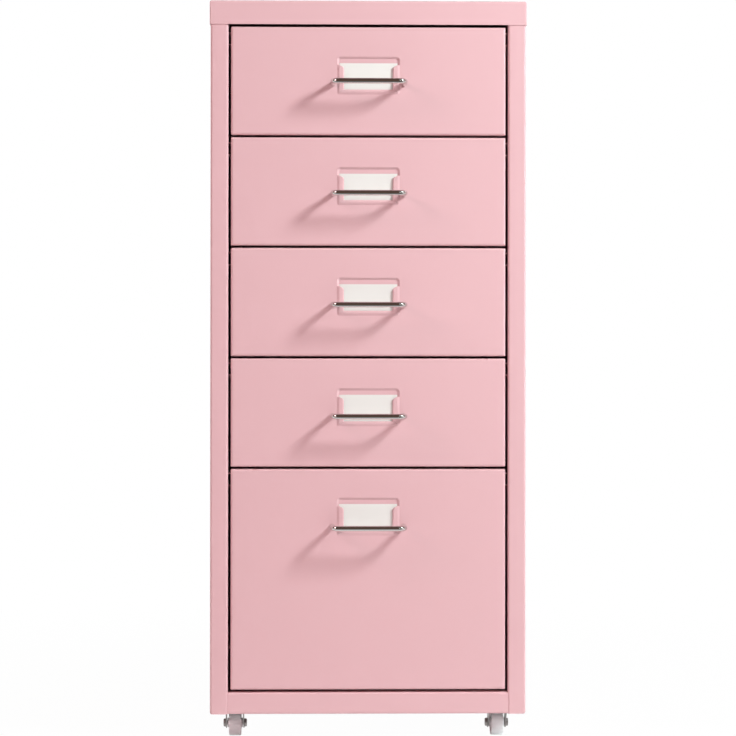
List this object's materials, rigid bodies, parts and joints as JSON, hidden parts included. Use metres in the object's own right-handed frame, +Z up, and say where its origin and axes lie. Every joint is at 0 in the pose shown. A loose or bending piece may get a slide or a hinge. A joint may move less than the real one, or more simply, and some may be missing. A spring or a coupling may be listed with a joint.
{
  "type": "drawer cabinet",
  "caption": "Narrow sheet-steel cabinet on swivel casters, with shallow drawers over a deep one, bent rod handles and pressed label holders.",
  "frame": {"origin": "on the floor, under the centre of the bounding box with every drawer shut", "axes": "+Z up, -Y towards the person who opens the drawers, +X to that person's right"},
  "size_m": [0.2924, 0.4396, 0.6893],
  "materials": {
    "body_paint": "satin",
    "drawer_paint": "satin",
    "handle_chrome": "polished",
    "zinc_plate": "satin",
    "wheel_nylon": "satin",
    "card_paper": "matte"
  },
  "bodies": {
    "carcass": {"top_panel": "body_paint", "left_side_panel": "body_paint", "right_side_panel": "body_paint", "back_panel": "body_paint", "base_panel": "body_paint", "panel_screws": "zinc_plate", "left_runner_1": "body_paint", "left_runner_2": "body_paint", "left_runner_3": "body_paint", "left_runner_4": "body_paint", "left_runner_5": "body_paint", "right_runner_1": "body_paint", "right_runner_2": "body_paint", "right_runner_3": "body_paint", "right_runner_4": "body_paint", "right_runner_5": "body_paint", "caster_plate_front_left": "zinc_plate", "caster_plate_front_right": "zinc_plate", "caster_plate_rear_left": "zinc_plate", "caster_plate_rear_right": "zinc_plate", "caster_kingpins": "zinc_plate", "caster_races": "zinc_plate", "caster_screws": "zinc_plate"},
    "drawer_1": {"drawer_front_1": "drawer_paint", "drawer_tray_1": "drawer_paint", "handle_1": "handle_chrome", "handle_screws_1": "zinc_plate", "label_card_1": "card_paper"},
    "drawer_2": {"drawer_front_2": "drawer_paint", "drawer_tray_2": "drawer_paint", "handle_2": "handle_chrome", "handle_screws_2": "zinc_plate", "label_card_2": "card_paper"},
    "drawer_3": {"drawer_front_3": "drawer_paint", "drawer_tray_3": "drawer_paint", "handle_3": "handle_chrome", "handle_screws_3": "zinc_plate", "label_card_3": "card_paper"},
    "drawer_4": {"drawer_front_4": "drawer_paint", "drawer_tray_4": "drawer_paint", "handle_4": "handle_chrome", "handle_screws_4": "zinc_plate", "label_card_4": "card_paper"},
    "drawer_5": {"drawer_front_5": "drawer_paint", "drawer_tray_5": "drawer_paint", "handle_5": "handle_chrome", "handle_screws_5": "zinc_plate", "label_card_5": "card_paper"},
    "swivel_front_left": {"caster_fork_front_left": "zinc_plate", "caster_axle_front_left": "zinc_plate"},
    "wheel_front_left": {"caster_wheel_front_left": "wheel_nylon"},
    "swivel_front_right": {"caster_fork_front_right": "zinc_plate", "caster_axle_front_right": "zinc_plate"},
    "wheel_front_right": {"caster_wheel_front_right": "wheel_nylon"},
    "swivel_rear_left": {"caster_fork_rear_left": "zinc_plate", "caster_axle_rear_left": "zinc_plate"},
    "wheel_rear_left": {"caster_wheel_rear_left": "wheel_nylon"},
    "swivel_rear_right": {"caster_fork_rear_right": "zinc_plate", "caster_axle_rear_right": "zinc_plate"},
    "wheel_rear_right": {"caster_wheel_rear_right": "wheel_nylon"}
  },
  "joints": [
    {"name": "drawer_1_slide", "type": "slide", "parent": "carcass", "child": "drawer_1", "axis": [0, -1, 0], "range_m": [0, 0.3]},
    {"name": "drawer_2_slide", "type": "slide", "parent": "carcass", "child": "drawer_2", "axis": [0, -1, 0], "range_m": [0, 0.3]},
    {"name": "drawer_3_slide", "type": "slide", "parent": "carcass", "child": "drawer_3", "axis": [0, -1, 0], "range_m": [0, 0.3]},
    {"name": "drawer_4_slide", "type": "slide", "parent": "carcass", "child": "drawer_4", "axis": [0, -1, 0], "range_m": [0, 0.3]},
    {"name": "drawer_5_slide", "type": "slide", "parent": "carcass", "child": "drawer_5", "axis": [0, -1, 0], "range_m": [0, 0.3]},
    {"name": "swivel_front_left_turn", "type": "hinge", "parent": "carcass", "child": "swivel_front_left", "pos_m": [-0.1245, -0.13578, 0.0284], "axis": [0, 0, 1], "continuous": true},
    {"name": "wheel_front_left_spin", "type": "hinge", "parent": "swivel_front_left", "child": "wheel_front_left", "pos_m": [-0.1245, -0.12377, 0.012], "axis": [1, 0, 0], "continuous": true},
    {"name": "swivel_front_right_turn", "type": "hinge", "parent": "carcass", "child": "swivel_front_right", "pos_m": [0.1245, -0.13578, 0.0284], "axis": [0, 0, 1], "continuous": true},
    {"name": "wheel_front_right_spin", "type": "hinge", "parent": "swivel_front_right", "child": "wheel_front_right", "pos_m": [0.1245, -0.12377, 0.012], "axis": [1, 0, 0], "continuous": true},
    {"name": "swivel_rear_left_turn", "type": "hinge", "parent": "carcass", "child": "swivel_rear_left", "pos_m": [-0.1245, 0.16023, 0.0284], "axis": [0, 0, 1], "continuous": true},
    {"name": "wheel_rear_left_spin", "type": "hinge", "parent": "swivel_rear_left", "child": "wheel_rear_left", "pos_m": [-0.1245, 0.17222, 0.012], "axis": [1, 0, 0], "continuous": true},
    {"name": "swivel_rear_right_turn", "type": "hinge", "parent": "carcass", "child": "swivel_rear_right", "pos_m": [0.1245, 0.16023, 0.0284], "axis": [0, 0, 1], "continuous": true},
    {"name": "wheel_rear_right_spin", "type": "hinge", "parent": "swivel_rear_right", "child": "wheel_rear_right", "pos_m": [0.1245, 0.17222, 0.012], "axis": [1, 0, 0], "continuous": true}
  ]
}
